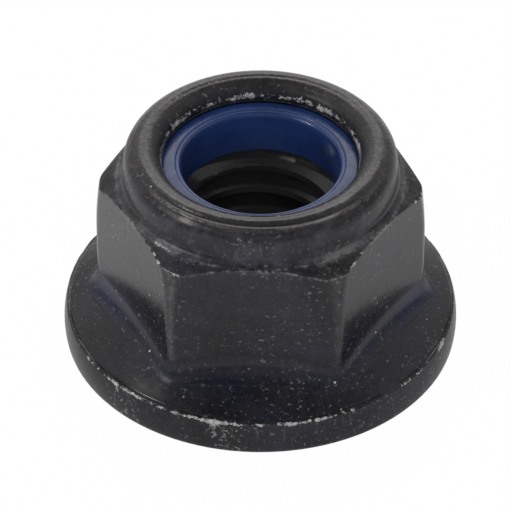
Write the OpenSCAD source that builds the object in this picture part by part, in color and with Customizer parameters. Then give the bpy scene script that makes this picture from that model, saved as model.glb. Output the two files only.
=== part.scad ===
// Flange lock nut: a hexagon nut with a round bearing flange, and a rolled collar
// on top that traps a ring of nylon. The ring is squeezed by the bolt's thread.
// The bearing face lies on z = 0, and the thread's axis is the z axis.

/* [Thread] */
// Nominal diameter of the thread
thread_d = 8; // [7.8:0.05:8.2]
// Pitch of the thread
thread_pitch = 1.25; // [1:0.05:1.5]
// Mouth of the countersink in the bearing face
countersink_d = 8.6; // [8.3:0.1:9.4]
// Full angle of that countersink, degrees
countersink_angle = 120; // [90:5:130]
// Mouth of the lead-in at the top of the thread, in the floor of the seat
lead_d = 8; // [7.4:0.1:9]

/* [Flange] */
// Diameter of the flange over its rounded rim
flange_d = 17.9; // [17:0.1:19.5]
// Height of the crease between the rim and the flange's upper cone
rim_h = 1.75; // [1.4:0.05:2.2]
// Radius of the rim's bulge, seen in section
rim_barrel_r = 3.2; // [2.4:0.1:5]
// Height of the widest point of that bulge
rim_bulge_z = 0.85; // [0.6:0.05:1.2]
// Rounding between the rim and the bearing face
rim_edge_r = 0.3; // [0.15:0.05:0.45]
// Slope of the flange's upper cone, degrees
flange_slope = 27; // [18:1:32]
// Fillet between that cone and the flats
base_fillet_r = 1.25; // [0.6:0.05:1.4]

/* [Hexagon] */
// Width across the flats
across_flats = 13; // [12.8:0.05:13.4]
// Width across the rounded corners
across_corners = 14.8; // [14.3:0.05:14.8]
// Height of the shoulder above the bearing face, at the middle of a flat
shoulder_z = 8.55; // [8.2:0.05:8.9]
// Slope of the shoulder, falling outward, degrees
shoulder_slope = 15; // [5:1:28]
// Height of the upper stretch on which the corners draw in
corner_draw_h = 4; // [2.5:0.1:5]
// Radius of that draw, seen in section
corner_draw_r = 25; // [15:1:60]

/* [Collar] */
// Height of the whole nut
nut_h = 10.5; // [10.3:0.05:11]
// Diameter of the collar
collar_d = 12.3; // [12.1:0.05:12.5]
// Radius of the bead that the collar's edge is rolled into
bead_r = 0.9; // [0.8:0.02:1]
// Wall of the collar around the ring
collar_wall = 0.95; // [0.8:0.05:1.1]
// Fillet between the collar and the shoulder
collar_fillet_r = 0.3; // [0.15:0.05:0.4]
// Fall of the lip's underside, from its nose to the collar's wall
lip_fall = 0.5; // [0.35:0.05:0.7]

/* [Locking ring] */
// Depth of the ring's seat below the shoulder
seat_depth = 1.15; // [0.9:0.05:1.4]
// Bore of the ring
ring_bore_d = 7.04; // [6.8:0.02:7.3]
// Rounding of the ring's inner edges
ring_edge_r = 0.25; // [0.1:0.05:0.3]
// Height of the ring's face over the nose of the lip
ring_proud = 0; // [-0.1:0.02:0.1]
// Gap between the ring and the collar, all round
ring_clearance = 0.02; // [0.01:0.01:0.05]

/* [Hidden] */
$fn = 120;
// Minor radius of the thread, which is the bore that the bolt's core passes
bore_r = thread_d / 2 - 0.541266 * thread_pitch;
countersink_h = (countersink_d / 2 - bore_r) / tan(countersink_angle / 2);
lead_h = lead_d / 2 - bore_r;

flange_r = flange_d / 2;
barrel_x = flange_r - rim_barrel_r;
crease_r = barrel_x + sqrt(pow(rim_barrel_r, 2) - pow(rim_h - rim_bulge_z, 2));
// Centre of the rounding that touches both the bulge and the bearing face
edge_reach = rim_barrel_r - rim_edge_r;
edge_fall = rim_bulge_z - rim_edge_r;
edge_x = barrel_x + sqrt(pow(edge_reach, 2) - pow(edge_fall, 2));
edge_dir = [(edge_x - barrel_x) / edge_reach, -edge_fall / edge_reach];

flat_r = across_flats / 2;
corner_r = across_corners / 2;
hex_root_z = rim_h / 2;
// The base fillet ends this far inside the flats, so each flat cuts it in a clean arch
fillet_tuck = 0.03;
tuck = 0.4;
// Each rounding bites this far past the faces that it blends, so that it meets them in edges
bite = 0.004;
fillet_x = flat_r - fillet_tuck + base_fillet_r;
fillet_z = cone_z(fillet_x) + base_fillet_r / cos(flange_slope);

collar_r = collar_d / 2;
bead_x = collar_r - bead_r;
bead_z = nut_h - bead_r;
neck_x = collar_r + collar_fillet_r;
neck_z = shelf_z(neck_x) + collar_fillet_r / cos(shoulder_slope);
draw_z = shoulder_z - corner_draw_h;

seat_r = collar_r - collar_wall;
seat_z = shoulder_z - seat_depth;
// The nose of the lip is trimmed a hair inside the bead's round
nose_trim = 0.02;
lip_r = bead_x - bead_r + nose_trim;
lip_grade = lip_fall / (seat_r - lip_r);

ring_bore_r = ring_bore_d / 2;
ring_r = seat_r - ring_clearance;
ring_top_z = bead_z + ring_proud;
ring_fall = ring_clearance * sqrt(1 + pow(lip_grade, 2));
ring_shoulder_z = bead_z - ring_fall - (ring_r - lip_r) * lip_grade;
ring_face_r = lip_r - (ring_proud + ring_fall) / lip_grade;

// Height of the flange's upper cone at radius r
function cone_z(r) = rim_h + (crease_r - r) * tan(flange_slope);

// Height of the shoulder at radius r
function shelf_z(r) = shoulder_z + (flat_r - r) * tan(shoulder_slope);

// Wedge that fills the inner corner of a wall at the left and a slope that falls to the right,
// before a fillet centred on [x, z] is cut from it. It reaches into both of them.
module corner_wedge(x, z, r, slope) {
    reach = r + tuck;
    low = z - reach * cos(slope);
    polygon([
        [x, z],
        [x - reach, z],
        [x - reach, low],
        [x - reach * sin(slope), low]
    ]);
}

// Section of the flange, from the axis out
module flange_outline() {
    difference() {
        union() {
            intersection() {
                union() {
                    square([barrel_x, nut_h]);
                    translate([barrel_x, rim_bulge_z])
                        circle(rim_barrel_r);
                }
                polygon([
                    [0, 0],
                    [flange_r + 1, 0],
                    [flange_r + 1, cone_z(flange_r + 1)],
                    [flat_r - tuck, cone_z(flat_r - tuck)],
                    [0, cone_z(flat_r - tuck)]
                ]);
            }
            corner_wedge(fillet_x, fillet_z, base_fillet_r, flange_slope);
        }
        translate([fillet_x, fillet_z - bite])
            circle(base_fillet_r);
        difference() {
            polygon([
                [edge_x, rim_edge_r],
                [edge_x, -tuck],
                [flange_r + 1, -tuck],
                [edge_x + edge_dir[0] * 2, rim_edge_r + edge_dir[1] * 2]
            ]);
            translate([edge_x, rim_edge_r])
                circle(rim_edge_r + bite);
        }
    }
}

// Section of the hexagon's corners, the shoulder, the collar and its bead
module upper_outline() {
    difference() {
        union() {
            intersection() {
                union() {
                    translate([0, hex_root_z])
                        square([corner_r, draw_z - hex_root_z]);
                    intersection() {
                        translate([corner_r - corner_draw_r, draw_z])
                            circle(corner_draw_r, $fn = 720);
                        translate([0, draw_z])
                            square([corner_r + 1, nut_h]);
                    }
                }
                polygon([
                    [0, 0],
                    [corner_r + 1, 0],
                    [corner_r + 1, shelf_z(corner_r + 1)],
                    [0, shelf_z(0)]
                ]);
            }
            translate([0, draw_z])
                square([collar_r, bead_z - draw_z]);
            translate([bead_x, bead_z])
                circle(bead_r);
            corner_wedge(neck_x, neck_z, collar_fillet_r, shoulder_slope);
        }
        translate([neck_x - bite, neck_z - bite])
            circle(collar_fillet_r);
    }
}

// Section of all that is open inside: countersink, bore, lead-in, seat and mouth
module cavity_outline() {
    polygon([
        [0, -1],
        [countersink_d / 2 + tan(countersink_angle / 2), -1],
        [bore_r, countersink_h],
        [bore_r, seat_z - lead_h],
        [lead_d / 2, seat_z],
        [seat_r, seat_z],
        [seat_r, bead_z - lip_fall],
        [lip_r, bead_z],
        [lip_r, nut_h + 1],
        [0, nut_h + 1]
    ]);
}

// Section of the ring: its outer shoulder follows the underside of the lip
module ring_outline() {
    edge_c = ring_bore_r + ring_edge_r;
    difference() {
        polygon([
            [ring_bore_r, seat_z],
            [ring_r, seat_z],
            [ring_r, ring_shoulder_z],
            [ring_face_r, ring_top_z],
            [ring_bore_r, ring_top_z]
        ]);
        for (s = [[seat_z, 1], [ring_top_z, -1]])
            translate([edge_c, s[0] + s[1] * ring_edge_r])
                difference() {
                    polygon([
                        [0, 0],
                        [0, -s[1] * (ring_edge_r + tuck)],
                        [-ring_edge_r - tuck, -s[1] * (ring_edge_r + tuck)],
                        [-ring_edge_r - tuck, 0]
                    ]);
                    circle(ring_edge_r + bite);
                }
    }
}

// Forged and turned steel body in one piece
module nut_body() {
    color([0.07, 0.07, 0.075])
        difference() {
            union() {
                rotate_extrude()
                    flange_outline();
                intersection() {
                    translate([0, 0, hex_root_z / 2])
                        linear_extrude(nut_h)
                            circle(d = across_flats / cos(30), $fn = 6);
                    rotate_extrude()
                        upper_outline();
                }
            }
            rotate_extrude()
                cavity_outline();
        }
}

// Nylon ring that stands on the floor of the seat, under the lip
module locking_ring() {
    color([0.05, 0.09, 0.36])
        rotate_extrude()
            ring_outline();
}

nut_body();
locking_ring();
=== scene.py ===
import math
from types import SimpleNamespace

import bpy
import numpy as np
from mathutils import Matrix, Vector, noise


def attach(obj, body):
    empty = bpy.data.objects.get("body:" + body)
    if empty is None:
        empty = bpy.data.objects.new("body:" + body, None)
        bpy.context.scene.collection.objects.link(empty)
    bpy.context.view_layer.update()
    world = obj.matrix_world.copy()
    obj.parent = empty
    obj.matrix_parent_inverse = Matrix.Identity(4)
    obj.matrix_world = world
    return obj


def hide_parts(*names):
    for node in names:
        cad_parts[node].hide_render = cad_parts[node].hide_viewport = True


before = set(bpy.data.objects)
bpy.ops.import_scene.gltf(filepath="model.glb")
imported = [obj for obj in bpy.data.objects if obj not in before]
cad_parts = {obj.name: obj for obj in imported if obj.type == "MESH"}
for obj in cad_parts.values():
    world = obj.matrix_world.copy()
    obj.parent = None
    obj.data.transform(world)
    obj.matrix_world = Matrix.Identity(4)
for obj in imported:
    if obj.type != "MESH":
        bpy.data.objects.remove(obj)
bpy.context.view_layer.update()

bl_info = {
    "name": "Flange lock nut",
    "version": (1, 0, 0),
    "blender": (4, 5, 0),
    "location": "View3D > Sidebar > Lock nut",
    "description": "Models a black flange lock nut with a blue nylon ring, and its studio",
    "category": "Add Mesh",
}

MM = 0.001

# Sections round a spun piece, and turns of the thread before it is trimmed
STEPS = 360
TURNS = 8
SMOOTH_ANGLE = math.radians(40)

# Depth of a metric thread as a share of its pitch, and half the countersink's angle
THREAD_DEPTH = 0.541266
COUNTERSINK_HALF = math.radians(60)

# Small sizes of the section, in millimetres
CORNER_SOFT = 0.07
BEAD_SOFT = 0.04
LIP_SOFT = 0.05
BRIM_INSET = 0.03
LIP_INSET = 0.02
LEDGE_H = 0.024
LEDGE_RUN = 0.35
GROOVE_DEPTH = 0.06
GROOVE_AT = 0.13
GROOVE_WIDTH = 0.045
BEAD_INSET = 0.03
BEAD_RIPPLE = 0.004
NOSE_RAGGED = 0.03
NICK_DEPTH = 0.05
NICK_REACH = 0.12
# Depth below the seat of the highlight painted on the lead-in
GLINT_DEPTH = 0.25

# Places along the skirt, from the crease and from the fillet's start
CREASE_PLACES = (0.07, 0.1, 0.13, 0.16, 0.19, 0.22, 0.26, 0.32)
FOOT_PLACES = (-0.06, -0.03, 0.0, 0.03, 0.06, 0.1)

# The roller's ridges and grooves: place and width in degrees of the bead's section, and height
FRONT_RIDGES = ((95, 3.0, -0.02), (83, 4.5, 0.03), (67, 6.5, -0.07), (54, 4.0, 0.034), (42, 5.0, -0.025))
BACK_RIDGES = ((96, 5.0, -0.03), (108, 4.0, 0.016), (127, 7.0, -0.025), (146, 4.0, 0.01))

# Painted shade in the bead's front grooves and painted highlights on its front ridges: place and width in
# degrees of its section, and weight
GROOVE_SHADE = ((95, 2.5, 0.6), (67, 7.0, 0.9), (40, 10.0, 0.85), (22, 10.0, 0.8))
RIDGE_HIGHLIGHTS = ((82, 4.0, 0.7), (54, 3.5, 1.0))

# Spots of wear and of painted light: bearing and width in degrees round the axis, and weight
CHIPPED = (
    (-130, 13, 1.0), (-107, 15, 1.0), (-82, 21, 1.0), (-146, 5, 0.9), (-39.5, 3.5, 1.25),
    (-33.5, 3, 1.15), (-20, 3, 1.0), (62, 26, 0.9), (140, 22, 0.85), (10, 9, 0.6),
)
RIM_SCUFFS = ((-131, 13, 0.85), (-93, 22, 0.68), (-60, 9, 0.6), (75, 30, 0.7), (155, 16, 0.7))
FACE_SCUFFS = ((-32, 22, 1.0), (-162, 14, 0.7), (150, 22, 0.8))
LIP_FLAKES = ((150, 26, 1.0), (60, 34, 1.0), (-172, 22, 1.0), (12, 24, 1.0), (100, 14, 0.8))
SHOULDER_NICKS = ((-127, 6, 1.0), (-51, 4, 1.0), (-118, 4, 0.9), (65, 14, 0.8), (170, 9, 0.9))
BRIM_NICKS = ((-127, 6, 1.0), (30, 8, 0.8), (118, 8, 0.9))
# Highlights painted in the collar's fillet, strongest at the front-left and front-right
NECK_HIGHLIGHTS = (
    (-130, 15, 1.0), (-54, 17, 0.9), (0, 12, 0.5), (60, 12, 0.5), (120, 12, 0.5), (180, 12, 0.5),
)
# Highlights painted on the corner facets, strongest at the front-left
CORNER_HIGHLIGHTS = ((-120, 12, 1.0),)
# Where a blue sheen is painted into the coating at the hexagon's foot
BLUE_SHEEN_SIDES = ((-167, 14, 1.0), (-10, 13, 0.85))
# Smudges on the flange's cone; the one at the front-left paints a sheen there
CONE_SMUDGES_AND_SHEEN = ((-125, 8, 1.0), (35, 10, 0.7), (120, 12, 0.8))
# A highlight painted on the lead-in under the ring
LEAD_GLINT = ((60, 13, 1.0),)
WORN_BEAD = ((-123, 5, 1.0), (20, 12, 0.7))

# Chips of the coating: the mark that they follow, their noise's scale, and their amount
CHIP_KINDS = (
    ("scuff", 4600.0, 0.44), ("crease", 3300.0, 0.61), ("lip", 5400.0, 0.6), ("shoulder", 2600.0, 0.57),
)

# Marks that a noise breaks up: mark, noise, its low and high, and the mark's share there
BROKEN_MARKS = (
    ("collar", "smear", 0.47, 0.66, 0.0, 0.6),
    ("shelf", "pits", 0.38, 0.62, 0.0, 0.36),
    ("smudge", "haze", 0.38, 0.62, 0.15, 0.85),
    ("bead", "mottle", 0.4, 0.6, 0.3, 1.0),
    ("throat", "pits", 0.45, 0.65, 0.0, 0.3),
    ("worn", "pits", 0.4, 0.58, 0.0, 1.0),
    ("ridge", "mottle", 0.4, 0.58, 0.1, 0.75),
    ("neck", "pits", 0.36, 0.6, 0.15, 0.75),
    ("corner", "pits", 0.4, 0.62, 0.06, 0.3),
    ("edge", "mottle", 0.46, 0.6, 0.05, 0.8),
    ("glint", "pits", 0.36, 0.54, 0.35, 0.9),
)

# The ring's stepped mouth, going inward: distance from the bore and depth below the top
RING_MOUTH = (
    (0.34, 0.0), (0.29, 0.025), (0.255, 0.065), (0.21, 0.045), (0.13, 0.065), (0.05, 0.14), (0.0, 0.27),
)
RING_FACE_DROP = 0.055
RING_FOOT_BEVEL = 0.1
RING_ROUNDING = 0.022

# Refraction of the finishes
COATING_IOR = 1.38
NYLON_IOR = 1.42

# Lamps: name, place and size in metres, power in watts, and whether the part mirrors them
LAMPS = (
    ("left_box", (-0.25, -0.1, 0.22), 0.065, 0.22, True),
    ("back_box", (0.0, 0.3, 0.2), 0.2, 0.22, True),
    ("front_box", (0.06, -0.45, 0.27), 0.3, 1.0, False),
)
LAMP_TARGET = Vector((0, 0, 0.005))

# The floor's size and drop in metres, its white to the eye, and its white when mirrored near and far, darker
# close by as a painted shadow
FLOOR_SIZE = 1.6
FLOOR_DROP = 0.00002
FLOOR_WHITE = 0.985
FLOOR_MIRRORED_SHADOW = (8.5 * MM, 18 * MM, 0.13, 0.86)

# The camera's angles, its distance, aim and shift in millimetres, and its lens
CAMERA_AZIMUTH = math.radians(2.56)
CAMERA_ELEVATION = math.radians(39.45)
CAMERA_DISTANCE = 223.75
CAMERA_AIM_Z = 4.3
CAMERA_SHIFT = (0.244, 0.085)
CAMERA_LENS = 349.1


def length(name, description, millimetres):
    """A length property, shown in the scene's units."""
    return bpy.props.FloatProperty(
        name=name, description=description, default=millimetres * MM,
        min=0.0, precision=5, subtype="DISTANCE", unit="LENGTH",
    )


def turn(name, description, degrees):
    """An angle property."""
    return bpy.props.FloatProperty(
        name=name, description=description, default=math.radians(degrees),
        subtype="ANGLE", unit="ROTATION",
    )


def tint(name, description, red, green, blue):
    """A colour property."""
    return bpy.props.FloatVectorProperty(
        name=name, description=description, default=(red, green, blue),
        size=3, min=0.0, max=1.0, subtype="COLOR",
    )


class LockNutSizes(bpy.types.PropertyGroup):
    """Sizes of the nut and its ring"""

    thread_d: length("Thread diameter", "Nominal diameter of the thread", 8.0)
    thread_pitch: length("Thread pitch", "Rise of the thread in one turn", 1.25)
    countersink_d: length("Countersink", "Mouth of the countersink in the bearing face", 8.6)
    lead_d: length("Lead-in", "Mouth of the lead-in at the top of the thread", 8.04)
    flange_d: length("Flange diameter", "Diameter over the flange's rounded rim", 17.885)
    rim_h: length("Rim height", "Height of the crease above the rim", 1.75)
    rim_barrel_r: length("Rim bulge", "Radius of the rim's bulge in section", 3.2)
    rim_bulge_z: length("Bulge height", "Height of the rim's widest point", 0.85)
    rim_edge_r: length("Rim edge", "Rounding between rim and bearing face", 0.3)
    flange_slope: turn("Flange slope", "Slope of the flange's upper cone", 27.0)
    base_fillet_r: length("Base fillet", "Fillet between the cone and the hexagon's foot", 1.25)
    across_flats: length("Across flats", "Width across the flats", 13.0)
    across_corners: length("Across corners", "Width across the rounded corners", 14.8)
    shoulder_z: length("Shoulder height", "Height of the shoulder over a flat's middle", 8.62)
    shoulder_slope: turn("Shoulder slope", "Slope of the shoulder, falling outward", 33.0)
    corner_draw_h: length("Corner draw", "Height on which the corners draw in", 3.0)
    corner_draw_r: length("Corner draw radius", "Radius of that draw in section", 20.0)
    nut_h: length("Height", "Height of the whole nut", 10.5)
    collar_d: length("Collar diameter", "Outer diameter of the collar", 12.3)
    bead_r: length("Bead radius", "Radius of the collar's rolled bead", 0.9)
    collar_wall: length("Collar wall", "Wall of the collar round the ring", 0.95)
    collar_fillet_r: length("Collar fillet", "Fillet between collar and shoulder", 0.36)
    lip_fall: length("Lip fall", "Fall of the lip's underside", 0.5)
    seat_z: length("Seat height", "Height of the ring's seat above the bearing face", 7.4)
    ring_bore_d: length("Ring bore", "Bore of the nylon ring", 7.04)
    ring_gap: length("Ring gap", "Gap between the ring and the collar", 0.02)
    edge_soft: length("Edge softness", "Rounding of the shoulder's forged edge", 0.08)


class LockNutFinish(bpy.types.PropertyGroup):
    """Colours of the coating, its wear, the light and shade painted on it, and the ring"""

    coating: tint("Coating", "Black coating of the steel", 0.0048, 0.0047, 0.0062)
    # The rubbed grey is also laid on the cone's front-left, where it paints a sheen
    rubbed: tint("Rubbed coating", "Greyed coating on the rolled bead", 0.054, 0.05, 0.049)
    haze: tint("Haze", "Bluish bloom of the coating where it is handled", 0.05, 0.048, 0.062)
    # This blue is a sheen painted into the coating's colour at the hexagon's foot
    navy: tint("Navy cast", "Blue cast of the coating at the hexagon's foot", 0.008, 0.009, 0.045)
    # This warm grey is also painted as highlights on the bead's front ridges
    wear_and_highlight: tint("Worn patch", "Warm grey where the roller wore the bead", 0.2, 0.185, 0.16)
    chip: tint("Chips", "Bare zinc where the coating is chipped", 0.52, 0.505, 0.48)
    # This grey also paints highlights in the collar's fillet and on the hexagon's corner facets
    scuff: tint("Scuffs", "Grey of scuffs and scratches", 0.21, 0.21, 0.215)
    dust: tint("Dust", "Pale specks on the coating", 0.52, 0.52, 0.51)
    nylon: tint("Nylon", "Blue of the locking ring", 0.0155, 0.038, 0.142)


def from_flat(angle):
    """Angle from the middle of the nearest flat."""
    return (angle + math.pi) % (math.pi / 3) - math.pi / 6


def lengths_along(points):
    """Length of a line of points up to each of them."""
    return np.concatenate([[0.0], np.cumsum(np.linalg.norm(np.diff(points, axis=0), axis=1))])


def sample(points, along, at):
    """Points of a line at the given lengths along it."""
    return np.stack([np.interp(at, along, points[:, 0]), np.interp(at, along, points[:, 1])], 1)


def peak(off, width):
    """One where off is zero, and less away from there."""
    return np.exp(-((off / width) ** 2))


def bend(start, corner, end, count):
    """Points between start and end on a curve that is drawn towards the corner."""
    t = np.linspace(0, 1, count + 2)[1:-1, None]
    return (1 - t) ** 2 * start + 2 * t * (1 - t) * corner + t**2 * end


class NutForm:
    """Section of the nut, worked out in millimetres from the sizes."""

    def __init__(self, sizes):
        for key in LockNutSizes.__annotations__:
            value = getattr(sizes, key)
            setattr(self, key, value if key.endswith("slope") else value / MM)
        self.minor_r = self.thread_d / 2 - THREAD_DEPTH * self.thread_pitch
        self.barrel_x = self.flange_d / 2 - self.rim_barrel_r
        rise = self.rim_h - self.rim_bulge_z
        self.crease_r = self.barrel_x + math.sqrt(self.rim_barrel_r**2 - rise**2)
        reach = self.rim_barrel_r - self.rim_edge_r
        fall = self.rim_bulge_z - self.rim_edge_r
        self.edge_x = self.barrel_x + math.sqrt(reach**2 - fall**2)
        self.edge_angle = math.atan2(-fall, self.edge_x - self.barrel_x)
        self.flat_r = self.across_flats / 2
        self.corner_r = self.across_corners / 2
        self.fillet_reach = self.base_fillet_r * math.tan((math.pi / 2 - self.flange_slope) / 2)
        self.draw_z = self.shoulder_z - self.corner_draw_h
        self.collar_r = self.collar_d / 2
        self.bead_x = self.collar_r - self.bead_r
        self.bead_z = self.nut_h - self.bead_r
        self.neck_x = self.collar_r + self.collar_fillet_r
        self.brim_r = self.flat_r - BRIM_INSET
        self.brim_z = self.shelf_z(self.brim_r)
        self.neck_foot = -math.acos((self.brim_r - self.neck_x) / self.collar_fillet_r)
        self.neck_z = self.brim_z - self.collar_fillet_r * math.sin(self.neck_foot)
        self.seat_r = self.collar_r - self.collar_wall
        self.lip_r = self.bead_x - self.bead_r + LIP_INSET
        self.nose_z = self.bead_z + math.sqrt(self.bead_r**2 - (self.bead_x - self.lip_r) ** 2)

    def cone_z(self, r):
        """Height of the flange's cone at radius r."""
        return self.rim_h + (self.crease_r - r) * math.tan(self.flange_slope)

    def shelf_z(self, r):
        """Height of the shoulder at radius r."""
        return self.shoulder_z + (self.flat_r - r) * math.tan(self.shoulder_slope)

    def wall_r(self, angle, z):
        """Radius of the hexagon's wall: the flat, softly cut by the round of the corners."""
        flat = self.flat_r / math.cos(from_flat(angle))
        up = np.maximum(np.asarray(z, float) - self.draw_z, 0.0)
        corner = self.corner_r - self.corner_draw_r + np.sqrt(self.corner_draw_r**2 - up**2)
        mix = np.clip(0.5 + 0.5 * (corner - flat) / CORNER_SOFT, 0.0, 1.0)
        return corner + (flat - corner) * mix - CORNER_SOFT * mix * (1 - mix)

    def wall(self, angle):
        """Points of the wall from the draw of the corners up to the edge of the shoulder."""
        heights = np.linspace(self.draw_z, self.shoulder_z + 0.1, 800)
        radii = self.wall_r(angle, heights)
        under = heights <= self.shelf_z(radii)
        return np.stack([radii[under], heights[under]], 1)

    def arc(self, x, z, radius, start, end, count=33):
        """Points of an arc in the section."""
        a = np.linspace(start, end, count)
        return np.stack([x + radius * np.cos(a), z + radius * np.sin(a)], 1)

    def skirt(self, angle):
        """Points from the crease up the cone, over a faint ledge and the fillet, to the foot of the wall."""
        low = float(self.wall_r(angle, 0.0))
        reach = self.fillet_reach * (1 - 0.9 * (low - self.flat_r) / self.flat_r)
        cone_r = np.linspace(self.crease_r, low, 400)
        cone = np.stack([cone_r, self.cone_z(cone_r)], 1)
        heights = np.linspace(cone[-1, 1], self.draw_z, 200)
        wall = np.stack([self.wall_r(angle, heights), heights], 1)
        lower = cone[np.linalg.norm(cone - cone[-1], axis=1) >= reach]
        upper = wall[np.linalg.norm(wall - wall[0], axis=1) >= reach]
        path = np.concatenate([lower, bend(lower[-1], cone[-1], upper[0], 58), upper])
        along = lengths_along(path)
        foot = along[len(lower) - 1]
        at = np.concatenate([
            CREASE_PLACES, np.linspace(0.42, foot - 0.12, 8),
            foot + np.array(FOOT_PLACES), np.linspace(foot + 0.16, along[-1], 17),
        ])
        slope = sample(np.gradient(path, along, axis=0), along, at)
        outward = np.stack([slope[:, 1], -slope[:, 0]], 1)
        past = at - foot
        ledge = LEDGE_H * np.clip((past + 0.03) / 0.06, 0, 1) * np.exp(-np.maximum(past, 0) / LEDGE_RUN)
        ledge *= min(max((30 - abs(math.degrees(from_flat(angle)))) / 9, 0.15), 1.0)
        side = (0.3 + 0.7 * abs(math.cos(angle))) * (0.8 + 0.9 * wander(angle, 0.0, 34.0, 2.2))
        groove = GROOVE_DEPTH * side * peak(at - GROOVE_AT, GROOVE_WIDTH)
        return sample(path, along, at) + outward * (ledge - groove)[:, None]

    def strokes(self, angle):
        """Strokes of the section at one angle, each with its count of points and the softness at its end."""
        skirt = self.skirt(angle)
        wall = self.wall(angle)
        neck = self.arc(self.neck_x, self.neck_z, self.collar_fillet_r, self.neck_foot, -math.pi)
        shelf = np.stack([wall[-1], neck[0]])
        nose_angle = math.pi - math.acos((self.bead_x - self.lip_r) / self.bead_r)
        shelf_soft = min(self.edge_soft, 0.4 * float(np.linalg.norm(shelf[1] - shelf[0])))
        rim_top = math.atan2(self.rim_h - self.rim_bulge_z, self.crease_r - self.barrel_x)
        rim_edge = self.arc(self.edge_x, self.rim_edge_r, self.rim_edge_r, -math.pi / 2, self.edge_angle)
        rim = self.arc(self.barrel_x, self.rim_bulge_z, self.rim_barrel_r, self.edge_angle, rim_top)
        lip_foot = self.bead_z - self.lip_fall
        return [
            ([[self.countersink_d / 2, 0.0], [self.edge_x, 0.0]], 7, 0, 0),
            (rim_edge, 6, 0, 0),
            (rim, 12, CORNER_SOFT, 4),
            (skirt, 0, 0, 0),
            (wall, 14, shelf_soft, 5),
            (shelf, 5, 0.6 * shelf_soft, 3),
            (neck, 8, 0, 0),
            ([[self.collar_r, self.neck_z], [self.collar_r, self.bead_z]], 4, 0, 0),
            (self.arc(self.bead_x, self.bead_z, self.bead_r, 0.0, nose_angle, 65), 44, BEAD_SOFT, 3),
            ([[self.lip_r, self.nose_z], [self.lip_r, self.bead_z]], 3, LIP_SOFT, 3),
            ([[self.lip_r, self.bead_z], [self.seat_r, lip_foot]], 4, 0, 0),
            ([[self.seat_r, lip_foot], [self.seat_r, self.seat_z]], 4, 0, 0),
            ([[self.seat_r, self.seat_z], [self.lead_d / 2, self.seat_z]], 4, 0, 0),
        ]

    def section(self, angle):
        """Points of the section at one angle, from the countersink's mouth round to the lead-in's."""
        made = []
        cut, corner, corner_count = 0.0, None, 0
        for points, count, soft, soft_count in self.strokes(angle):
            piece = points = np.asarray(points)
            if count:
                along = lengths_along(points)
                piece = sample(points, along, np.linspace(cut, along[-1] - soft, count))
            if cut > 0:
                made.extend(bend(made[-1], corner, piece[0], corner_count))
                made.extend(piece)
            else:
                made.extend(piece[1:] if made else piece)
            cut, corner, corner_count = soft, points[-1], soft_count
        return np.array(made)

    def tooth(self):
        """One pitch of the thread's section, from the middle of a root up."""
        depth = self.thread_d / 2 - self.minor_r
        flank = np.linspace(1 / 16, 3 / 8, 7)
        share = np.concatenate([[0.0], flank, [0.44, 0.5, 0.56], 1 - flank[::-1], [1.0]])
        ramp = np.clip((np.abs(share - 0.5) - 1 / 8) / (5 / 16), 0, 1)
        radii = self.minor_r + depth * ramp
        return np.stack([radii, (share - 1.5) * self.thread_pitch], 1)


def outline_object(name, points, closed):
    """A circle whose points are moved onto a section in the XZ plane."""
    bpy.ops.object.select_all(action="DESELECT")
    bpy.ops.mesh.primitive_circle_add(vertices=len(points), radius=0.01)
    piece = bpy.context.object
    piece.name = name
    piece.data.name = name
    for vertex, (r, z) in zip(piece.data.vertices, points):
        vertex.co = (r * MM, 0.0, z * MM)
    if not closed:
        bpy.ops.object.mode_set(mode="EDIT")
        bpy.ops.mesh.select_mode(type="EDGE")
        bpy.ops.mesh.select_all(action="DESELECT")
        bpy.ops.object.mode_set(mode="OBJECT")
        ends = {0, len(points) - 1}
        for edge in piece.data.edges:
            edge.select = set(edge.vertices) == ends
        bpy.ops.object.mode_set(mode="EDIT")
        bpy.ops.mesh.delete(type="EDGE")
        bpy.ops.mesh.select_mode(type="VERT")
        bpy.ops.object.mode_set(mode="OBJECT")
    return piece


def spin_outline(name, points, closed):
    """A section spun once round the thread's axis."""
    piece = outline_object(name, points, closed)
    bpy.ops.object.mode_set(mode="EDIT")
    bpy.ops.mesh.select_all(action="SELECT")
    bpy.ops.mesh.spin(
        steps=STEPS, angle=2 * math.pi, center=(0, 0, 0), axis=(0, 0, 1), use_auto_merge=True,
    )
    bpy.ops.mesh.select_all(action="SELECT")
    bpy.ops.mesh.remove_doubles(threshold=1e-7)
    bpy.ops.object.mode_set(mode="OBJECT")
    return piece


def read_points(piece):
    """The piece's points as an array, in millimetres."""
    co = np.empty(len(piece.data.vertices) * 3)
    piece.data.vertices.foreach_get("co", co)
    return co.reshape(-1, 3) / MM


def write_points(piece, points):
    """Moves the piece's points to an array in millimetres."""
    piece.data.vertices.foreach_set("co", (points * MM).ravel())
    piece.data.update()


def close_up(piece):
    """Merges doubles, turns the faces outward, and stops if the shell isn't closed."""
    bpy.ops.object.select_all(action="DESELECT")
    piece.select_set(True)
    bpy.context.view_layer.objects.active = piece
    bpy.ops.object.mode_set(mode="EDIT")
    bpy.ops.mesh.select_all(action="SELECT")
    bpy.ops.mesh.remove_doubles(threshold=1e-6)
    bpy.ops.mesh.dissolve_degenerate(threshold=1e-7)
    bpy.ops.mesh.delete_loose()
    bpy.ops.mesh.select_all(action="SELECT")
    bpy.ops.mesh.normals_make_consistent(inside=False)
    bpy.ops.mesh.select_all(action="DESELECT")
    bpy.ops.mesh.select_non_manifold()
    bpy.ops.object.mode_set(mode="OBJECT")
    loose = sum(vertex.select for vertex in piece.data.vertices)
    if loose:
        raise RuntimeError(f"{piece.name} isn't closed: {loose} points lie on open edges")


def wander(angle, height, grain, seed):
    """Smooth noise round the axis, from -1 to 1."""
    reach = grain / (2 * math.pi)
    return noise.noise(Vector((reach * math.cos(angle), reach * math.sin(angle), height + seed)))


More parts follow.
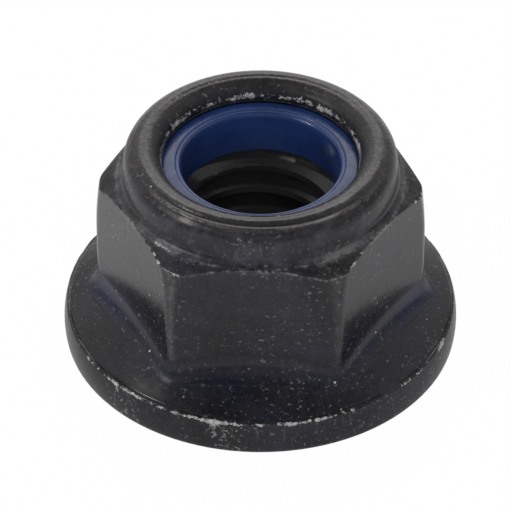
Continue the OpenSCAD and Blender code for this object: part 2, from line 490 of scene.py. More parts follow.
def shape_body(piece, form, spun):
    """Fits each section of the spun blank to the hexagon, with its tool marks and nicks."""
    points = read_points(piece)
    radii = np.hypot(points[:, 0], points[:, 1])
    angles = np.arctan2(points[:, 1], points[:, 0])
    columns = np.rint(angles / (2 * math.pi) * STEPS).astype(int) % STEPS
    gap = (radii[:, None] - spun[None, :, 0]) ** 2 + (points[:, 2][:, None] - spun[None, :, 1]) ** 2
    rows = gap.argmin(1)
    for column in range(STEPS):
        angle = 2 * math.pi * column / STEPS
        here = np.flatnonzero(columns == column)
        section = tool_marks(form, form.section(angle), angle)
        fitted = section[rows[here]]
        points[here, 0] = fitted[:, 0] * math.cos(angle)
        points[here, 1] = fitted[:, 0] * math.sin(angle)
        points[here, 2] = fitted[:, 1]
    write_points(piece, points)


def roll_drift(angle):
    """How far the roller's marks wander up and down the bead, in degrees of its section."""
    return 4.0 * wander(angle, 0.0, 4.0, 8.7)


def tool_marks(form, section, angle):
    """The section at one angle with the roller's marks on its bead, a ragged nose and a nicked crease."""
    dx = section[:, 0] - form.bead_x
    dz = section[:, 1] - form.bead_z
    around = np.degrees(np.arctan2(dz, dx))
    on_bead = (np.abs(np.hypot(dx, dz) - form.bead_r) < 0.03) & (around > -1)
    front = min(max(-1.5 * math.sin(angle) - 0.2, 0.0), 1.0)
    back = min(max(1.5 * math.sin(angle) - 0.5, 0.0), 1.0)
    even = 0.85 + 0.4 * wander(angle, 0.0, 9.0, 3.1)
    drift = roll_drift(angle)
    lift = BEAD_RIPPLE * np.array([wander(angle, a / 9.0, 16.0, 6.3) for a in around]) - BEAD_INSET
    for ridges, share in ((FRONT_RIDGES, front), (BACK_RIDGES, back)):
        for centre, width, height in ridges:
            lift += height * share * even * peak(around - centre - drift, width)
    lift += peak(around - 172, 12) * NOSE_RAGGED * wander(angle, 0.0, 60.0, 1.3)
    scale = np.where(on_bead, lift, 0.0) / form.bead_r
    away = np.hypot(section[:, 0] - form.crease_r, section[:, 1] - form.rim_h)
    nick = min(wander(angle, 0.0, 110.0, 5.5) * NICK_DEPTH + 0.01, 0.0)
    knocked = nick * peak(away, NICK_REACH)[:, None] * np.array([1.0, 0.5])
    return section + np.stack([dx, dz], 1) * scale[:, None] + knocked


def cut_thread(form):
    """Thread of the bore: one tooth wound up the axis, trimmed by the countersink and the lead-in."""
    piece = outline_object("thread", form.tooth(), False)
    winding = piece.modifiers.new("Winding", "SCREW")
    winding.angle = 2 * math.pi
    winding.screw_offset = form.thread_pitch * MM
    winding.iterations = TURNS
    winding.steps = STEPS
    winding.render_steps = STEPS
    bpy.ops.object.modifier_apply(modifier=winding.name)
    points = read_points(piece)
    radii = np.hypot(points[:, 0], points[:, 1])
    columns = np.rint(np.arctan2(points[:, 1], points[:, 0]) / (2 * math.pi) * STEPS)
    angles = columns * 2 * math.pi / STEPS
    heights = np.clip(points[:, 2], 0.0, form.seat_z)
    below = form.countersink_d / 2 - heights * math.tan(COUNTERSINK_HALF)
    above = form.lead_d / 2 - (form.seat_z - heights)
    radii = np.maximum(radii, np.maximum(below, above))
    write_points(piece, np.stack([radii * np.cos(angles), radii * np.sin(angles), heights], 1))
    return piece


class BodyPoints:
    """The body's points by radius, height and bearing, and the faces of the nut that they lie on."""

    def __init__(self, piece, form):
        points = read_points(piece)
        self.r = r = np.hypot(points[:, 0], points[:, 1])
        self.z = z = points[:, 2]
        self.angle = np.arctan2(points[:, 1], points[:, 0])
        self.off = np.degrees(from_flat(self.angle))
        self.front = np.clip(-1.5 * np.sin(self.angle) - 0.2, 0, 1)
        degree = np.rint(np.degrees(self.angle)).astype(int) % 360
        turns = [math.radians(a) for a in range(360)]
        self.wall = np.array([float(form.wall_r(a, 0.0)) for a in turns])[degree]
        self.edge = np.array([form.wall(a)[-1] for a in turns])[degree]
        self.over = np.degrees(np.arctan2(z - form.bead_z, r - form.bead_x))
        self.lined = self.over - np.array([roll_drift(a) for a in turns])[degree]
        shelf = np.abs(z - form.shelf_z(r)) < 0.05
        self.on_shelf = shelf & (r > form.brim_r + 0.02) & (z > form.seat_z + 0.1)
        self.on_collar = (z > form.brim_z) & (r > form.bead_x)
        self.on_bead = np.abs(np.hypot(r - form.bead_x, z - form.bead_z) - form.bead_r) < 0.12
        self.on_rim = ((z < form.rim_h + 0.02) & (z > 0.1) & (r > form.edge_x - 0.2)).astype(float)

    def near(self, r, z, width):
        """One at a place in the section, and less away from it."""
        return peak(np.hypot(self.r - r, self.z - z), width)

    def spots(self, spots):
        """The weight of the nearest spot, and less away from it."""
        best = np.zeros(len(self.angle))
        for bearing, width, weight in spots:
            off = (np.degrees(self.angle) - bearing + 180) % 360 - 180
            best = np.maximum(best, weight * peak(off, width))
        return best


def edge_marks(at, form):
    """Marks along the edges of the flange, the hexagon and the collar, with highlights painted in the
    collar's fillet and on the corner facets.
    """
    shelf_r, shelf_z = at.edge.T
    brim = (form.brim_r, form.brim_z)
    shoulder = at.near(shelf_r, shelf_z, 0.17) * (0.55 + 0.45 * at.spots(SHOULDER_NICKS))
    nicked_brim = at.near(*brim, 0.15) * (0.5 + 0.5 * at.spots(BRIM_NICKS))
    cut_back = np.clip((form.flat_r / np.cos(np.radians(at.off)) - at.r) / 0.12, 0, 1)
    on_corner = (at.z > 3.2) & (at.z < shelf_z) & (at.r > 6.9)
    return {
        "crease": at.near(form.crease_r + 0.02, form.rim_h - 0.06, 0.17) * (0.45 + 0.55 * at.spots(CHIPPED)),
        "lip": at.near(form.lip_r + 0.06, form.nose_z + 0.1, 0.24) * (0.7 + 0.3 * at.spots(LIP_FLAKES)),
        "shoulder": np.maximum(shoulder, nicked_brim),
        "edge": np.maximum(at.near(shelf_r, shelf_z, 0.05), 0.9 * at.near(*brim, 0.05)),
        # A highlight painted in the collar's fillet
        "neck": at.near(form.brim_r - 0.11, form.brim_z + 0.07, 0.17) * at.spots(NECK_HIGHLIGHTS),
        # A highlight painted on the corner facets
        "corner": cut_back * on_corner * (0.4 + 0.6 * at.spots(CORNER_HIGHLIGHTS)),
    }


def face_marks(at, form):
    """Marks on the faces: scuffs, the painted blue sheen and dull foot, smudges with a painted sheen, a
    painted highlight on the lead-in, and faces finished apart.
    """
    scuffed = np.maximum(at.on_rim * (0.53 + 0.44 * at.spots(RIM_SCUFFS)), at.on_shelf * 0.62)
    scuffed = np.maximum(scuffed, at.on_collar * 0.58 * (at.over < 62))
    elsewhere = at.on_rim + at.on_shelf + at.on_collar < 0.5
    foot = (at.wall + 0.25, form.cone_z(at.wall + 0.25) + 0.25)
    cone = np.clip((form.crease_r - at.r) / 0.4, 0, 1) * np.clip((at.r - at.wall - 0.15) / 0.5, 0, 1)
    lead = peak(at.r - form.lead_d / 2 + GLINT_DEPTH, 0.07)
    on_lead = np.abs(at.z - form.seat_z + GLINT_DEPTH) < GLINT_DEPTH
    return {
        "scuff": scuffed + (0.42 + 0.24 * at.spots(FACE_SCUFFS)) * elsewhere,
        "rim": at.on_rim,
        "inside": (at.r < form.thread_d / 2 + 0.1) & (at.z < form.seat_z + 0.05) & (at.z > 0.05),
        "shelf": at.on_shelf,
        # Blue sheen painted at the hexagon's foot
        "navy": at.near(*foot, 0.62) * (0.16 + 0.84 * at.spots(BLUE_SHEEN_SIDES)),
        "dull_foot": at.near(*foot, 0.6) * (0.36 + 0.64 * np.clip((np.abs(at.off) - 22) / 5, 0, 1)),
        "collar": at.on_collar * np.clip((58 - at.over) / 12, 0, 1),
        # Smudges on the cone, with a sheen painted at the front-left
        "smudge": cone * (at.z > form.rim_h - 0.2) * at.spots(CONE_SMUDGES_AND_SHEEN),
        # A highlight painted on the lead-in, in the colour of the chips
        "glint": lead * on_lead * at.spots(LEAD_GLINT),
    }


def bead_marks(at):
    """Marks on the rolled bead: greyed but for shade painted into its front grooves, highlights painted on
    its front ridges, matt inside, worn in spots.
    """
    # Shade painted in the bead's front grooves, by leaving out the grey there
    groove_shade = at.front * np.max([share * peak(at.lined - a, width) for a, width, share in GROOVE_SHADE], 0)
    # Highlights painted on the bead's front ridges
    ridges = np.sum([share * peak(at.lined - a, width) for a, width, share in RIDGE_HIGHLIGHTS], 0)
    greyed = np.clip((at.over - 14) / 34, 0, 1) * np.clip((141 - at.over) / 26, 0, 1)
    return {
        "bead": at.on_bead * greyed * (1 - groove_shade),
        "ridge": at.on_bead * at.front * ridges,
        "throat": at.on_bead * np.clip((at.over - 112) / 24, 0, 1),
        "worn": at.on_bead * at.spots(WORN_BEAD) * peak(at.over - 44, 10),
    }


def wear_marks(piece, form):
    """Stores on each point how near it lies to the worn edges, where the coating differs, and where light
    and shade are painted.
    """
    at = BodyPoints(piece, form)
    for name, values in (edge_marks(at, form) | face_marks(at, form) | bead_marks(at)).items():
        layer = piece.data.attributes.new(name, "FLOAT", "POINT")
        layer.data.foreach_set("value", np.asarray(values, np.float32))


class NodeTree:
    """Short ways to place and join shader nodes."""

    def __init__(self, tree):
        self.tree = tree

    def node(self, kind, **values):
        made = self.tree.nodes.new(kind)
        for key, value in values.items():
            setattr(made, key, value)
        return made

    def link(self, start, end):
        self.tree.links.new(start, end)

    def feed(self, socket, value):
        """Joins an output to an input, or sets the input's own value."""
        if isinstance(value, bpy.types.NodeSocket):
            self.link(value, socket)
        else:
            socket.default_value = value

    def math(self, operation, first, second=0.0, clamp=False):
        """One sum, held between 0 and 1 where clamp is set."""
        made = self.node("ShaderNodeMath", operation=operation, use_clamp=clamp)
        self.feed(made.inputs[0], first)
        self.feed(made.inputs[1], second)
        return made.outputs[0]

    def plus(self, first, second, clamp=False):
        return self.math("ADD", first, second, clamp)

    def minus(self, first, second, clamp=False):
        return self.math("SUBTRACT", first, second, clamp)

    def times(self, first, second):
        return self.math("MULTIPLY", first, second)

    def most(self, first, *others):
        """The largest of the values."""
        for other in others:
            first = self.math("MAXIMUM", first, other)
        return first

    def span(self, value, low, high, start=0.0, end=1.0):
        """Start where the value is low, end where it is high, and a smooth step between."""
        made = self.node("ShaderNodeMapRange", interpolation_type="SMOOTHSTEP")
        self.feed(made.inputs["Value"], value)
        for key, number in (("From Min", low), ("From Max", high), ("To Min", start), ("To Max", end)):
            self.feed(made.inputs[key], number)
        return made.outputs["Result"]

    def mix(self, factor, first, second):
        """The first colour, and the second where the factor is one."""
        made = self.node("ShaderNodeMix", data_type="RGBA")
        self.feed(made.inputs["Factor"], factor)
        self.feed(made.inputs["A"], first)
        self.feed(made.inputs["B"], second)
        return made.outputs["Result"]

    def noise(self, vector, scale, detail=3.0, roughness=0.55, distortion=0.0):
        """Smooth noise from 0 to 1."""
        made = self.node("ShaderNodeTexNoise")
        self.link(vector, made.inputs["Vector"])
        values = {"Scale": scale, "Detail": detail, "Roughness": roughness, "Distortion": distortion}
        for key, value in values.items():
            self.feed(made.inputs[key], value)
        return made.outputs["Fac"]

    def place(self, vector, scale=(1, 1, 1), shift=(0, 0, 0), turned=(0, 0, 0)):
        """Coordinates that are scaled, shifted and turned."""
        made = self.node("ShaderNodeMapping")
        self.link(vector, made.inputs["Vector"])
        made.inputs["Location"].default_value = shift
        made.inputs["Rotation"].default_value = turned
        made.inputs["Scale"].default_value = scale
        return made.outputs["Vector"]

    def own_place(self):
        """The piece's own coordinates."""
        return self.node("ShaderNodeTexCoord").outputs["Object"]

    def stored(self, name):
        """A mark that is stored on the piece's points."""
        return self.node("ShaderNodeAttribute", attribute_name=name).outputs["Fac"]


def effect_group(name, inputs, outputs):
    """An empty shader node group with float inputs and outputs."""
    group = bpy.data.node_groups.new(name, "ShaderNodeTree")
    for label, default in inputs:
        socket = group.interface.new_socket(label, in_out="INPUT", socket_type="NodeSocketFloat")
        socket.default_value = default
    for label in outputs:
        group.interface.new_socket(label, in_out="OUTPUT", socket_type="NodeSocketFloat")
    tree = NodeTree(group)
    return tree, tree.node("NodeGroupInput").outputs, tree.node("NodeGroupOutput").inputs


def speck_group():
    """Pale specks of dust, scattered at random, a few of them larger."""
    tree, given, out = effect_group(
        "dust_specks", [("Scale", 1500.0), ("Amount", 0.3), ("Size", 0.2)], ["Mask"],
    )
    place = tree.own_place()
    cells = tree.node("ShaderNodeTexVoronoi", feature="F1")
    tree.link(place, cells.inputs["Vector"])
    tree.link(given["Scale"], cells.inputs["Scale"])
    pick = tree.node("ShaderNodeSeparateColor")
    tree.link(cells.outputs["Color"], pick.inputs["Color"])
    chosen = tree.math("LESS_THAN", pick.outputs["Red"], given["Amount"])
    reach = tree.times(given["Size"], tree.span(pick.outputs["Green"], 0.0, 1.0, 0.35, 1.0))
    ragged = tree.times(tree.noise(place, 7000.0, 3.0), 0.16)
    near = tree.minus(tree.plus(reach, 0.08), tree.plus(cells.outputs["Distance"], ragged))
    strength = tree.span(pick.outputs["Blue"], 0.0, 1.0, 0.15, 1.0)
    dot = tree.times(tree.span(near, 0.0, 0.06), strength)
    tree.link(tree.times(dot, chosen), out["Mask"])
    return tree.tree


def chip_group():
    """Ragged chipping along an edge: the nearer the edge, the more of the coating is gone."""
    tree, given, out = effect_group(
        "edge_chips", [("Edge", 0.0), ("Scale", 2200.0), ("Amount", 0.5)], ["Mask", "Height"],
    )
    place = tree.own_place()
    coarse = tree.noise(place, given["Scale"], 6.0, 0.68, 0.6)
    patch = tree.noise(place, 950.0, 2.0, 0.5)
    level = tree.plus(tree.times(coarse, 1.4), tree.times(patch, 0.5))
    level = tree.minus(level, 0.45)
    need = tree.minus(1.0, tree.times(given["Edge"], given["Amount"]))
    over = tree.minus(level, need)
    tree.link(tree.span(over, 0.0, 0.07), out["Mask"])
    tree.link(tree.span(over, -0.04, 0.1, 0.0, -1.0), out["Height"])
    return tree.tree


def scratch_group():
    """Fine scratches: a few long faint ones, and short ragged flecks that lie every way."""
    tree, given, out = effect_group("rub_scratches", [("Long", 0.1), ("Short", 0.5)], ["Mask"])
    place = tree.own_place()
    marks = []
    for turned, scale, low, high, share in (
        ((0.1, 0.25, 0.0), (5200, 5200, 520), 0.64, 0.78, "Long"),
        ((-0.5, -0.75, 0.3), (4200, 4200, 620), 0.66, 0.78, "Long"),
        ((0.3, 0.5, 0.0), (4300, 4600, 7000), 0.66, 0.74, "Short"),
        ((-0.5, -0.6, 0.8), (3600, 6200, 4600), 0.66, 0.74, "Short"),
        ((0.9, -1.1, 0.4), (6400, 4100, 5200), 0.66, 0.74, "Short"),
    ):
        stretched = tree.place(place, scale, (0.3, 0.7, 0.1), turned)
        streak = tree.span(tree.noise(stretched, 1.0, 2.0, 0.5), low, high)
        marks.append(tree.times(streak, given[share]))
    patches = tree.span(tree.noise(place, 350.0, 2.0), 0.35, 0.6, 0.2, 1.0)
    tree.link(tree.times(tree.most(*marks), patches), out["Mask"])
    return tree.tree


def new_material(name):
    """A material with its Principled shader, and short ways to add nodes."""
    made = bpy.data.materials.new(name)
    made.use_nodes = True
    tree = NodeTree(made.node_tree)
    shader = made.node_tree.nodes["Principled BSDF"]
    return made, tree, shader


def placed_group(tree, group, **values):
    """A node group placed in a material with its own values."""
    made = tree.node("ShaderNodeGroup", node_tree=group)
    for key, value in values.items():
        tree.feed(made.inputs[key], value)
    return made.outputs


def opaque(colour):
    """A colour with full alpha."""
    return (*colour, 1.0)


def add_bump(tree, shader, height, strength, distance):
    """Lays a height on the shader as bumps, whose distance is in millimetres."""
    bump = tree.node("ShaderNodeBump")
    bump.inputs["Strength"].default_value = strength
    bump.inputs["Distance"].default_value = distance * MM
    tree.link(height, bump.inputs["Height"])
    tree.link(bump.outputs["Normal"], shader.inputs["Normal"])


def steel_noises(tree):
    """The noises that the steel's tones share, from broad clouds to fine grain."""
    place = tree.own_place()
    made = {
        "bloom": tree.noise(place, 210.0, 3.0, 0.6),
        "cloud": tree.noise(place, 260.0, 4.0, 0.6),
        "drift": tree.noise(place, 290.0, 3.0, 0.6),
        "blotch": tree.noise(place, 520.0, 3.0),
        "pits": tree.noise(place, 1500.0, 5.0, 0.65),
        "grain": tree.noise(place, 5200.0, 4.0, 0.6),
        "drawn": tree.noise(tree.place(place, (160, 160, 800)), 1.0, 3.0, 0.55),
        "haze": tree.noise(tree.place(place, (900, 900, 1500)), 1.0, 6.0, 0.7),
        "smear": tree.noise(tree.place(place, (900, 900, 760)), 1.0, 6.0, 0.72, 0.3),
    }
    made["mottle"] = tree.plus(tree.times(made["pits"], 0.5), tree.times(made["grain"], 0.5))
    return SimpleNamespace(**made)


def broken_marks(tree, noises):
    """The stored marks, each broken up by its noise."""
    masks = {}
    for mark, noise_name, *span in BROKEN_MARKS:
        masks[mark] = tree.times(tree.stored(mark), tree.span(getattr(noises, noise_name), *span))
    masks["ridge"] = tree.times(masks["ridge"], tree.span(noises.blotch, 0.4, 0.58, 0.2, 1.0))
    return SimpleNamespace(**masks)


def sound_coating(tree, finish, noises, masks):
    """Colour of the sound coating, hazy, rubbed on the shoulder and with a blue sheen painted in at the
    foot, and how dull it is.
    """
    clouds = tree.span(noises.cloud, 0.35, 0.7, 0.5, 1.0)
    dull = tree.times(clouds, tree.span(noises.grain, 0.4, 0.66, 0.0, 0.16))
    dull = tree.plus(dull, tree.span(noises.haze, 0.44, 0.66, 0.0, 0.13))
    dull = tree.plus(dull, tree.span(noises.bloom, 0.44, 0.66, 0.0, 0.14))
    dull = tree.plus(dull, masks.collar, True)
    colour = tree.mix(dull, opaque(finish.coating), opaque(finish.haze))
    colour = tree.mix(masks.shelf, colour, opaque(finish.rubbed))
    # A blue sheen painted into the colour at the hexagon's foot, strongest on the left and right sides
    cast = tree.plus(tree.stored("navy"), tree.span(noises.drawn, 0.5, 0.75, 0.0, 0.3), True)
    cast = tree.times(cast, tree.span(noises.cloud, 0.3, 0.6, 0.5, 1.0))
    return tree.mix(cast, colour, opaque(finish.navy)), dull


def rubbed_colour(tree, finish, masks, colour):
    """The coating with its rubbed and worn places, a sheen painted on the cone and highlights painted on the
    bead, the collar's fillet and the corner facets, laid over it one after the other.
    """
    for mask, tone in (
        # Smudges on the cone in rubbed grey, with a painted sheen at the front-left
        (masks.smudge, finish.rubbed),
        (masks.bead, finish.rubbed),
        (masks.throat, finish.rubbed),
        (masks.worn, finish.wear_and_highlight),
        # Highlights painted on the bead's front ridges
        (masks.ridge, finish.wear_and_highlight),
        # Highlight painted in the collar's fillet
        (masks.neck, finish.scuff),
        # Highlights painted on the corner facets, and the worn edges of the shoulder
        (tree.most(masks.corner, masks.edge), finish.scuff),
        (tree.times(tree.stored("inside"), 0.36), finish.rubbed),
    ):
        colour = tree.mix(mask, colour, opaque(tone))
    return colour


def dust_mask(tree, groups, noises):
    """Specks of three sizes, the finer ones gathered in drifts."""
    fine = placed_group(tree, groups["speck"], Scale=2100.0, Amount=0.42, Size=0.14)["Mask"]
    middle = placed_group(tree, groups["speck"], Scale=1200.0, Amount=0.35, Size=0.085)["Mask"]
    large = placed_group(tree, groups["speck"], Scale=670.0, Amount=0.1, Size=0.05)["Mask"]
    fine = tree.times(fine, tree.span(noises.drift, 0.46, 0.62, 0.08, 0.9))
    middle = tree.times(middle, tree.span(noises.drift, 0.38, 0.56, 0.1, 0.9))
    return tree.most(fine, middle, tree.times(large, 0.9))


def steel_roughness(tree, noises, masks, dull, bright):
    """Satin where the coating is sound, and duller where it is rubbed, matt or chipped."""
    rough = tree.plus(tree.span(noises.cloud, 0.3, 0.7, 0.1, 0.16), tree.times(dull, 0.2))
    for mask, share in (
        (tree.plus(masks.bead, masks.throat), 0.14),
        (tree.stored("rim"), 0.1),
        (masks.neck, 0.12),
        (tree.stored("collar"), 0.14),
        (tree.most(tree.stored("throat"), tree.stored("dull_foot")), 0.25),
        (tree.stored("inside"), -0.05),
    ):
        rough = tree.plus(rough, tree.times(mask, share))
    return tree.most(rough, tree.times(bright, 0.55))


def coated_steel(finish, groups):
    """Thin black coating on steel: a blue sheen painted in at the foot, greyed on the bead, chipped on the
    edges, dusty, with painted highlights, sheen and shade.
    """
    made, tree, shader = new_material("black_coated_steel")
    noises = steel_noises(tree)
    masks = broken_marks(tree, noises)
    colour, dull = sound_coating(tree, finish, noises, masks)
    colour = rubbed_colour(tree, finish, masks, colour)
    clean = tree.minus(1.0, tree.times(tree.stored("inside"), 0.97))
    scratch = placed_group(tree, groups["scratch"], Long=0.14, Short=0.5)["Mask"]
    scratch = tree.times(scratch, clean)
    scuff, crease, lip, shoulder = [
        placed_group(tree, groups["chip"], Edge=tree.stored(mark), Scale=scale, Amount=amount)
        for mark, scale, amount in CHIP_KINDS
    ]
    rubbed = tree.most(scratch, tree.times(scuff["Mask"], 0.85))
    colour = tree.mix(rubbed, colour, opaque(finish.scuff))
    # The chips, and a highlight painted on the lead-in in their colour
    chips_and_glint = tree.most(crease["Mask"], lip["Mask"], shoulder["Mask"], masks.glint)
    pale = tree.mix(tree.span(noises.grain, 0.35, 0.6), opaque(finish.scuff), opaque(finish.chip))
    colour = tree.mix(chips_and_glint, colour, pale)
    dust = tree.times(dust_mask(tree, groups, noises), clean)
    colour = tree.mix(dust, colour, opaque(finish.dust))
    tree.link(colour, shader.inputs["Base Color"])
    bright = tree.most(chips_and_glint, dust, scuff["Mask"], masks.worn)
    tree.link(steel_roughness(tree, noises, masks, dull, bright), shader.inputs["Roughness"])
    metal = tree.most(tree.times(chips_and_glint, 0.4), tree.times(masks.bead, 0.75))
    tree.link(tree.minus(metal, dust, True), shader.inputs["Metallic"])
    shader.inputs["IOR"].default_value = COATING_IOR
    height = tree.plus(tree.times(noises.grain, 0.4), tree.times(noises.pits, 0.5))
    rolled = tree.times(tree.plus(masks.bead, masks.throat), tree.times(noises.pits, 1.2))
    height = tree.plus(tree.plus(height, rolled), tree.plus(crease["Height"], lip["Height"]))
    add_bump(tree, shader, tree.minus(height, tree.times(scratch, 0.4)), 0.35, 0.03)
    return made


def blue_nylon(finish, groups):
    """Smooth moulded nylon with a faint swirl, a few scuffs and a little dust."""
    made, tree, shader = new_material("blue_nylon")
    place = tree.own_place()
    swirl = tree.noise(place, 330.0, 3.0, 0.5, 0.8)
    deep = [0.7 * c for c in finish.nylon]
    colour = tree.mix(tree.span(swirl, 0.35, 0.65), opaque(deep), opaque(finish.nylon))
    dust = placed_group(tree, groups["speck"], Scale=900.0, Amount=0.05, Size=0.1)["Mask"]
    colour = tree.mix(tree.times(dust, 0.5), colour, opaque(finish.dust))
    tree.link(colour, shader.inputs["Base Color"])
    scuff = tree.noise(place, 2600.0, 3.0, 0.6)
    tree.link(tree.span(scuff, 0.35, 0.7, 0.2, 0.32), shader.inputs["Roughness"])
    shader.inputs["IOR"].default_value = NYLON_IOR
    add_bump(tree, shader, tree.plus(swirl, tree.times(scuff, 0.2)), 0.15, 0.02)
    return made


def shared_groups():
    """The wear effects, made once and used by every material."""
    makers = {
        "speck": ("dust_specks", speck_group),
        "chip": ("edge_chips", chip_group),
        "scratch": ("rub_scratches", scratch_group),
    }
    return {key: bpy.data.node_groups.get(name) or make() for key, (name, make) in makers.items()}


def finish_piece(piece, node, material):
    """Gives the piece its finish and sets it in the place of its solid."""
    piece.data.materials.clear()
    piece.data.materials.append(material)
    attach(piece, "root")
    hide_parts(node)


class LOCKNUT_OT_body(bpy.types.Operator):
    """Spin the nut's section, press the flats into it, wind its thread and close the shell"""

    bl_idname = "locknut.body"
    bl_label = "Nut body"

    def execute(self, context):
        form = NutForm(context.scene.lock_nut_sizes)
        spun = form.section(0.0)
        body = spin_outline("nut_body_piece", spun, False)
        shape_body(body, form, spun)
        thread = cut_thread(form)
        bpy.ops.object.select_all(action="DESELECT")
        thread.select_set(True)
        body.select_set(True)
        context.view_layer.objects.active = body
        bpy.ops.object.join()
        close_up(body)
        bpy.ops.object.shade_smooth_by_angle(angle=SMOOTH_ANGLE)
        wear_marks(body, form)
        steel = coated_steel(context.scene.lock_nut_finish, shared_groups())
        finish_piece(body, "nut_body", steel)
        return {"FINISHED"}


def ring_section(form):
    """Closed section of the nylon ring, which stands on its seat and reaches up under the lip."""
    bore = form.ring_bore_d / 2
    outer = form.seat_r - form.ring_gap
    grade = form.lip_fall / (form.seat_r - form.lip_r)
    drop = form.ring_gap * math.sqrt(1 + grade**2)
    top = form.bead_z
    foot = form.seat_z
    low = top - drop - (outer - form.lip_r) * grade
    face = form.lip_r - drop / grade
    return [
        (outer, foot), (outer, low), (face, top - RING_FACE_DROP),
        *((bore + inset, top - depth) for inset, depth in RING_MOUTH),
        (bore, foot + RING_FOOT_BEVEL), (bore + RING_FOOT_BEVEL, foot),
    ]


class LOCKNUT_OT_ring(bpy.types.Operator):
    """Spin the nylon ring, with its stepped and rounded mouth"""

    bl_idname = "locknut.ring"
    bl_label = "Locking ring"

    def execute(self, context):
        form = NutForm(context.scene.lock_nut_sizes)
        ring = spin_outline("locking_ring_piece", ring_section(form), True)
        close_up(ring)
        rounding = ring.modifiers.new("Rounding", "BEVEL")
        rounding.width = RING_ROUNDING * MM
        rounding.segments = 3
        rounding.limit_method = "ANGLE"
        rounding.angle_limit = math.radians(15)
        bpy.ops.object.modifier_apply(modifier=rounding.name)
        close_up(ring)
        bpy.ops.object.shade_smooth_by_angle(angle=SMOOTH_ANGLE)
        nylon = blue_nylon(context.scene.lock_nut_finish, shared_groups())
        finish_piece(ring, "locking_ring", nylon)
        return {"FINISHED"}


def white_for_eye(tree, seen, mirrored):
    """Share of plain white where the ray comes from the camera, or from a mirror or glass, else zero."""
    path = tree.node("ShaderNodeLightPath").outputs
    bounced = tree.most(path["Is Glossy Ray"], path["Is Transmission Ray"])
    direct = tree.times(path["Is Camera Ray"], seen)
    return tree.most(direct, tree.times(bounced, mirrored))


def lay_floor():
    """Lays a floor that looks white, with a shadow painted into what the part mirrors close by."""
    bpy.ops.object.select_all(action="DESELECT")
    bpy.ops.mesh.primitive_plane_add(size=FLOOR_SIZE, location=(0, 0, -FLOOR_DROP))
    floor = bpy.context.object
    floor.name = "floor"
    bpy.ops.object.transform_apply(location=True, rotation=False, scale=False)
    material, tree, shader = new_material("white_floor")
    shader.inputs["Base Color"].default_value = (0.9, 0.9, 0.9, 1)
    shader.inputs["Roughness"].default_value = 0.9
    shader.inputs["Specular IOR Level"].default_value = 0.0
    glow = tree.node("ShaderNodeEmission")
    blend = tree.node("ShaderNodeMixShader")
    away = tree.node("ShaderNodeVectorMath", operation="LENGTH")
    tree.link(tree.own_place(), away.inputs[0])
    # What the part mirrors is darker close by: a contact shadow painted into the floor's reflection
    mirrored = tree.span(away.outputs["Value"], *FLOOR_MIRRORED_SHADOW)
    tree.link(white_for_eye(tree, FLOOR_WHITE, mirrored), blend.inputs[0])
    tree.link(shader.outputs[0], blend.inputs[1])
    tree.link(glow.outputs[0], blend.inputs[2])
    tree.link(blend.outputs[0], material.node_tree.nodes["Material Output"].inputs["Surface"])
    floor.data.materials.append(material)


def set_sky(scene):
    """Sets a white sky, dimmed overhead, in front, on the right and low at the sides for the part."""
    world = bpy.data.worlds.new("studio")
    scene.world = world
    world.use_nodes = True
    tree = NodeTree(world.node_tree)
    back = world.node_tree.nodes["Background"]
    toward = tree.node("ShaderNodeSeparateXYZ")
    tree.link(tree.node("ShaderNodeTexCoord").outputs["Generated"], toward.inputs[0])
    x, y, z = toward.outputs
    aside = tree.times(tree.math("ABSOLUTE", x), -0.22)
    overhead = tree.plus(z, tree.plus(aside, tree.times(x, 0.08)))
    dome = tree.span(overhead, 0.62, 0.95, 1.0, 0.26)
    right = tree.times(tree.most(x, 0.0), 0.38)
    dome = tree.times(dome, tree.minus(1.0, right))
    forward = tree.plus(tree.plus(y, tree.times(z, -0.3)), tree.times(x, 0.25))
    dome = tree.times(dome, tree.span(forward, -0.55, -0.2, 0.45, 1.0))
    low = tree.span(z, 0.2, 0.45, 1.0, 0.0)
    low = tree.times(low, tree.span(aside, -0.13, -0.07, 1.0, 0.0))
    dome = tree.times(dome, tree.minus(1.0, tree.times(low, 0.5)))
    path = tree.node("ShaderNodeLightPath").outputs
    tree.link(tree.most(dome, path["Is Camera Ray"]), back.inputs["Strength"])
    back.inputs["Color"].default_value = (1, 1, 1, 1)


def hang_lamp(context, name, place, size, power, mirrored):
    """Hangs a square lamp that faces the part."""
    bpy.ops.object.light_add(type="AREA", location=place)
    lamp = context.object
    lamp.name = name
    lamp.data.size = size
    lamp.data.energy = power
    lamp.visible_glossy = mirrored
    lamp.rotation_euler = (LAMP_TARGET - Vector(place)).to_track_quat("-Z", "Y").to_euler()


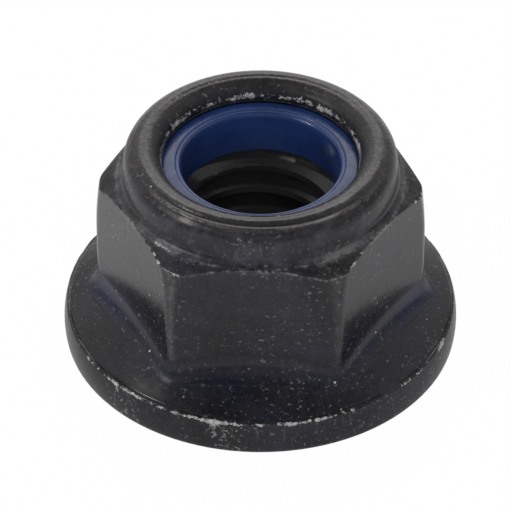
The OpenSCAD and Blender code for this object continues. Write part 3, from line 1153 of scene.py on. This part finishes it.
def set_camera(context):
    """Sets the camera where the photograph was taken from."""
    level = math.cos(CAMERA_ELEVATION)
    right = Vector((math.cos(CAMERA_AZIMUTH), math.sin(CAMERA_AZIMUTH), 0))
    back = Vector((right.y * level, -right.x * level, math.sin(CAMERA_ELEVATION)))
    upward = back.cross(right)
    aim = Vector((0, 0, CAMERA_AIM_Z)) - right * CAMERA_SHIFT[0] - upward * CAMERA_SHIFT[1]
    bpy.ops.object.camera_add(location=(aim + back * CAMERA_DISTANCE) * MM)
    camera = context.object
    camera.name = "camera"
    camera.rotation_euler = Matrix((right, upward, back)).transposed().to_euler()
    camera.data.lens = CAMERA_LENS
    context.scene.camera = camera


class LOCKNUT_OT_stage(bpy.types.Operator):
    """Lay the white floor, light it softly and set the camera"""

    bl_idname = "locknut.stage"
    bl_label = "Studio"

    def execute(self, context):
        scene = context.scene
        scene.view_settings.view_transform = "Standard"
        lay_floor()
        set_sky(scene)
        for lamp in LAMPS:
            hang_lamp(context, *lamp)
        set_camera(context)
        return {"FINISHED"}


class LOCKNUT_PT_panel(bpy.types.Panel):
    """Lists the steps and the sizes of the nut"""

    bl_idname = "LOCKNUT_PT_panel"
    bl_label = "Lock nut"
    bl_space_type = "VIEW_3D"
    bl_region_type = "UI"
    bl_category = "Lock nut"

    def draw(self, context):
        for step in OPERATORS:
            self.layout.operator(step.bl_idname)
        for group in (context.scene.lock_nut_sizes, context.scene.lock_nut_finish):
            box = self.layout.box()
            for key in group.__annotations__:
                box.prop(group, key)


OPERATORS = (LOCKNUT_OT_body, LOCKNUT_OT_ring, LOCKNUT_OT_stage)
CLASSES = (LockNutSizes, LockNutFinish, *OPERATORS, LOCKNUT_PT_panel)


def register():
    for item in CLASSES:
        bpy.utils.register_class(item)
    bpy.types.Scene.lock_nut_sizes = bpy.props.PointerProperty(type=LockNutSizes)
    bpy.types.Scene.lock_nut_finish = bpy.props.PointerProperty(type=LockNutFinish)


def unregister():
    del bpy.types.Scene.lock_nut_finish
    del bpy.types.Scene.lock_nut_sizes
    for item in reversed(CLASSES):
        bpy.utils.unregister_class(item)


def main():
    register()
    bpy.ops.locknut.body()
    bpy.ops.locknut.ring()
    bpy.ops.locknut.stage()


if __name__ == "__main__":
    main()
